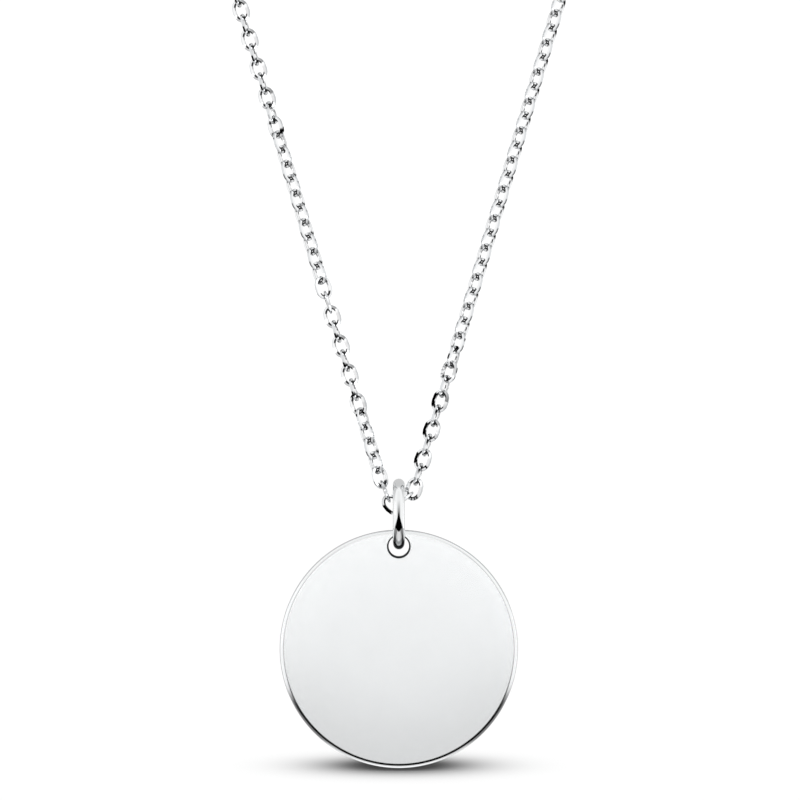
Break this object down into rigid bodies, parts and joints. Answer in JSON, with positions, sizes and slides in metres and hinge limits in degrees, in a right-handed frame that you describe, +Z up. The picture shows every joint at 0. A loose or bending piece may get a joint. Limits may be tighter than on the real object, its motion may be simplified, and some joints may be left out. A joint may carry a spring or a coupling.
{
  "type": "disc pendant necklace",
  "caption": "Plain polished round disc hung by a jump ring from a fine cable-link chain that closes at the nape with a plain clasp.",
  "frame": {"origin": "centre of the clasp, where the necklace sits on the nape", "axes": "+Z up towards the nape, the strands lie in the XZ plane, and the disc's polished front faces -Y"},
  "size_m": [0.0886, 0.006, 0.2184],
  "materials": {
    "disc_steel": "stainless steel, mirror polished, with faint fine grain",
    "ring_steel": "stainless steel wire, polished",
    "chain_steel": "stainless steel wire, tumbled bright",
    "clasp_steel": "stainless steel, polished"
  },
  "bodies": {
    "necklace": {"chain_front": "chain_steel", "chain_back": "chain_steel", "clasp": "clasp_steel"},
    "bail": {"jump_ring": "ring_steel"},
    "pendant": {"disc": "disc_steel"}
  },
  "joints": [
    {"name": "ring_swing", "type": "hinge", "parent": "necklace", "child": "bail", "pos_m": [0, 0, -0.19331], "axis": [1, 0, 0], "range_deg": [-60, 60]},
    {"name": "disc_swing", "type": "hinge", "parent": "bail", "child": "pendant", "pos_m": [0, 0, -0.19661], "axis": [0, 1, 0], "range_deg": [-45, 45]}
  ]
}
